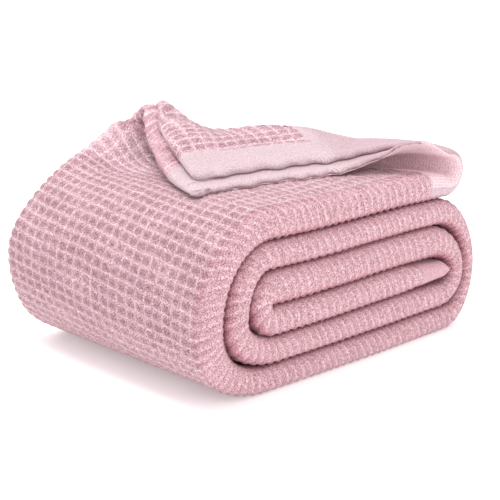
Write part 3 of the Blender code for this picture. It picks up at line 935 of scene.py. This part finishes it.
YARN = 850.0                 # grain of the yarn, per metre of cloth
YARN_RANGE = (0.34, 0.66)
PLAIN_RANGE = (0.30, 0.70)
GRAIN = (0.30, 1.70)
RIDGE_GRAIN = (0.65, 1.35)
PLAIN_GRAIN = (0.7, 1.3)
EDGE_SOFTENING = (2.4, 0.9)  # the grain of strong ribs is that of ridges
FINE_RIB = 0.0030            # fine ribs of the plain borders, on the outside and within the curl
FINE_RIB_SHADE = (0.05, 0.13)
LINES_HALF = 0.0065          # half the width of the group of stitched lines
LINES_FADE = 0.0005
LINES_STEP = 0.0026          # from one of them to the next
LINES_SHADE = 0.30
RIB_SHADE = 0.15
PAINTED_LIGHT_GAIN = 0.16
# the folded edges are painted lighter, as painted light
EDGE_PAINTED_LIGHT = 0.04
RED_SHARE = 0.7              # the grain changes the red of the cloth less than the rest
RIDGE_BUMP = 0.6             # the ridges and the ribs stand out of the bump by these
RIB_BUMP = 0.25
COTTON_FEEL = {"Roughness": 0.92, "Specular IOR Level": 0.1, "Sheen Weight": 0.22,
               "Sheen Roughness": 0.5}


def ribs_wave():
    """The waves of the folded edges' ribs."""
    turn = times(measured("rib"), 2 * math.pi)
    strength, shift = SECOND_WAVE
    twice = counted("COSINE", plus(times(turn, 2.0), shift))
    wave = plus(counted("COSINE", turn), times(twice, strength))
    return times(wave, measured("edge"))


def ridge_share(place):
    """How far a point lies on a ridge of the weave, broken up along it."""
    away = [counted("PINGPONG", measured(label), 0.5) for label in ("row", "line")]
    nearest = counted("MINIMUM", away[0], plus(away[1], COLUMN_BEHIND))
    ridge = times(ranged(nearest, *RIDGE_CORE, 1.0, 0.0), measured("ridged"))
    broken = node("ShaderNodeTexNoise", Vector=place, Scale=RIDGE_BREAKS, Detail=1.0)
    return times(ridge, ranged(broken.outputs["Fac"], *RIDGE_BROKEN, 0.0, RIDGE_MOST))


def cloth_colour(ridge, cross):
    """The cloth's pinks with painted shade and painted light, before the grain of its yarn."""
    # painted shade in the pits
    colour = blended(ranged(measured("relief"), 0.0, BODY_RELIEF, 0.0, 1.0),
                     (*PIT_SHADE_PINK, 1), (*BODY_PINK, 1))
    edge = ranged(measured("edge"), 0.0, 1.0, 0.0, EDGE_SHARE)
    colour = blended(edge, colour, (*EDGE_PINK, 1))
    # painted highlight along the ridges
    colour = blended(ridge, colour, (*RIDGE_HIGHLIGHT_PINK, 1))
    # the plain borders' own pinks, painted light within the curl and painted shade on the flap's
    # corner
    for label, pink in (("plain", PLAIN_PINK), ("within", WITHIN_LIT_PINK), ("flap_corner_shade", FLAP_CORNER_SHADE_PINK),
                        ("inner", INNER_PINK)):
        colour = blended(measured(label), colour, (*pink, 1))
    strokes = ranged(cross, *CROSS_RANGE, *CREASE_STROKES)
    # painted shade in and beside the creases, in the pocket and along the hem
    colour = blended(times(measured("warm_painted_shade"), strokes), colour, (*WARM_SHADE_PINK, 1))
    return blended(measured("painted_shade"), colour, (*PAINTED_SHADE_PINK, 1))


def plain_grain(yarn):
    """Grain of the plain borders, with their fine ribs and the group of stitched lines."""
    fine = ranged(yarn, *PLAIN_RANGE, *PLAIN_GRAIN)
    uv = TREE.nodes.new("ShaderNodeUVMap")
    uv.uv_map = "Cloth"
    both = node("ShaderNodeSeparateXYZ", Vector=uv.outputs["UV"])
    over = blended(measured("within"), both.outputs[0], both.outputs[1])
    ribs = counted("SINE", times(over, 2 * math.pi / FINE_RIB))
    ribs = times(ribs, ranged(measured("within"), 0.0, 1.0, *FINE_RIB_SHADE))
    lean = measured("lines")
    band = ranged(counted("ABSOLUTE", lean), LINES_HALF - LINES_FADE,
                  LINES_HALF + LINES_FADE, LINES_SHADE, 0.0)
    stitches = counted("COSINE", times(lean, 2 * math.pi / LINES_STEP))
    return plus(plus(fine, ribs), times(stitches, band))


def cloth_grain(yarn, ridge, cross):
    """Light and dark of the yarn, with painted light on some lit faces, as factors on the cloth's
    red, green and blue.
    """
    rough = ranged(yarn, *YARN_RANGE, *GRAIN)
    crisp = ranged(yarn, *YARN_RANGE, *RIDGE_GRAIN)
    grain = blended(ridge, rough, crisp)
    strong, softened = EDGE_SOFTENING
    softer = ranged(measured("edge"), 0.0, strong, 0.0, softened)
    grain = blended(softer, grain, crisp)
    grain = blended(measured("plain"), grain, plain_grain(yarn))
    shade = plus(times(cross, RIB_SHADE), 1.0)
    # painted light on the slope, the flap's top and the folded far edge
    shade = plus(shade, times(measured("painted_light"), PAINTED_LIGHT_GAIN))
    # painted light on the folded edges
    shade = plus(shade, times(measured("edge"), EDGE_PAINTED_LIGHT))
    grain = times(grain, shade)
    reds = plus(times(grain, RED_SHARE), 1 - RED_SHARE)
    return node("ShaderNodeCombineXYZ", X=reds, Y=grain, Z=grain).outputs[0]


def dress_cotton():
    """Waffle cotton: pits, ridges, plain borders, ribs, creases and the grain of the yarn, with
    painted shade in pits and creases and painted light on some lit faces.
    """
    shader = TREE.nodes["Principled BSDF"]
    place = TREE.nodes.new("ShaderNodeTexCoord").outputs["Object"]
    yarn = node("ShaderNodeTexNoise", Vector=place, Scale=YARN, Detail=1.0,
                Roughness=0.7).outputs["Fac"]
    ridge, cross = ridge_share(place), ribs_wave()
    tinted = TREE.nodes.new("ShaderNodeVectorMath")
    tinted.operation = "MULTIPLY"
    fill(tinted.inputs[0], cloth_colour(ridge, cross))
    fill(tinted.inputs[1], cloth_grain(yarn, ridge, cross))
    fill(shader.inputs["Base Color"], tinted.outputs["Vector"])
    rise = plus(yarn, times(ridge, RIDGE_BUMP))
    rise = plus(rise, times(cross, RIB_BUMP))
    bump = node("ShaderNodeBump", Height=rise, Strength=0.6, Distance=0.0008)
    fill(shader.inputs["Normal"], bump.outputs["Normal"])
    for key, value in COTTON_FEEL.items():
        shader.inputs[key].default_value = value


# ---- the cloth's skins ----

dress_cotton()
CORE = outline(0.012, 0.012, 0.0018, 0.0035)
TURN = outline(0.0024, 0.012, 0.0018, 0.0030)
SIDE = outline(0.0015, 0.010, 0.0016, 0.0025)
LAST = outline(0.010, 0.0015, 0.0016, 0.0016)
ROLL_STEP = 0.0019           # from row to row along the strip, coarser where little shows
SHOWN_STEP = 0.0016
FLAP_STEP = 0.0015

woven_piece("core", roll_skin(0, 9, ROLL_STEP, CORE, tip=True), COTTON, (0, 1))
woven_piece("turn", roll_skin(9, 13, ROLL_STEP, TURN), COTTON)
woven_piece("left", roll_skin(13, ROLL_END, SHOWN_STEP, SIDE), COTTON)
woven_piece("top", top_skin(SHOWN_STEP, SIDE), COTTON)
woven_piece("flap", flap_skin(FLAP_STEP, LAST), COTTON, (1, 0))


# ---- the stage ----

FLOOR_HALF = 6.0
FLOOR_GREY = 0.96
FLOOR_GLOW = 0.22            # keeps the floor as white as a studio backdrop
SKY = 1.02


def pale(name):
    """The floor's dull white."""
    material = bpy.data.materials.new(name)
    material.use_nodes = True
    shader = material.node_tree.nodes["Principled BSDF"]
    looks = {"Base Color": (FLOOR_GREY, FLOOR_GREY, FLOOR_GREY, 1), "Roughness": 1.0,
             "Specular IOR Level": 0.0, "Emission Color": (1, 1, 1, 1),
             "Emission Strength": FLOOR_GLOW}
    for key, value in looks.items():
        shader.inputs[key].default_value = value
    return material


ground = bpy.data.meshes.new("floor")
ground.from_pydata([(x * FLOOR_HALF, y * FLOOR_HALF, 0)
                    for x, y in ((-1, -1), (1, -1), (1, 1), (-1, 1))], [], [(0, 1, 2, 3)])
ground.materials.append(pale("pale floor"))
floor = bpy.data.objects.new("floor", ground)
bpy.context.scene.collection.objects.link(floor)

world = bpy.data.worlds.new("studio")
bpy.context.scene.world = world
world.use_nodes = True
sky = world.node_tree.nodes["Background"].inputs
sky["Color"].default_value = (1.0, 1.0, 1.0, 1)
sky["Strength"].default_value = SKY


def soft_light(name, place, aim, size, power):
    """A round white studio light."""
    data = bpy.data.lights.new(name, "AREA")
    data.shape = "DISK"
    data.size, data.energy = size, power
    lamp = bpy.data.objects.new(name, data)
    lamp.location = place
    lamp.rotation_euler = (Vector(aim) - Vector(place)).to_track_quat("-Z", "Y").to_euler()
    bpy.context.scene.collection.objects.link(lamp)


soft_light("above", (-0.35, 0.25, 1.6), (0, 0, 0.1), 0.8, 14.0)
soft_light("front", (0.4, -1.8, 0.9), (0, 0, 0.1), 1.2, 7.5)
soft_light("behind", (-0.1, 1.5, 1.1), (0, 0, 0.15), 1.0, 6.0)

# ---- the camera ----

EYE = np.array([-0.61905, -0.68814, 0.39942]) - MIDDLE
DOWN = math.radians(14.974)
AHEAD_X, AHEAD_Y = 0.700, 0.714      # the way the camera looks, seen from above
SENSOR = 36.0
FOCAL = 1174 / 500 * SENSOR          # focal length in image pixels over the image's width

lens = bpy.data.cameras.new("camera")
lens.sensor_width, lens.lens = SENSOR, FOCAL
camera = bpy.data.objects.new("camera", lens)
ahead = Vector((AHEAD_X * math.cos(DOWN), AHEAD_Y * math.cos(DOWN), -math.sin(DOWN)))
camera.location = EYE.tolist()
camera.rotation_euler = ahead.to_track_quat("-Z", "Y").to_euler()
bpy.context.scene.collection.objects.link(camera)
bpy.context.scene.camera = camera
bpy.context.scene.view_settings.view_transform = "Standard"
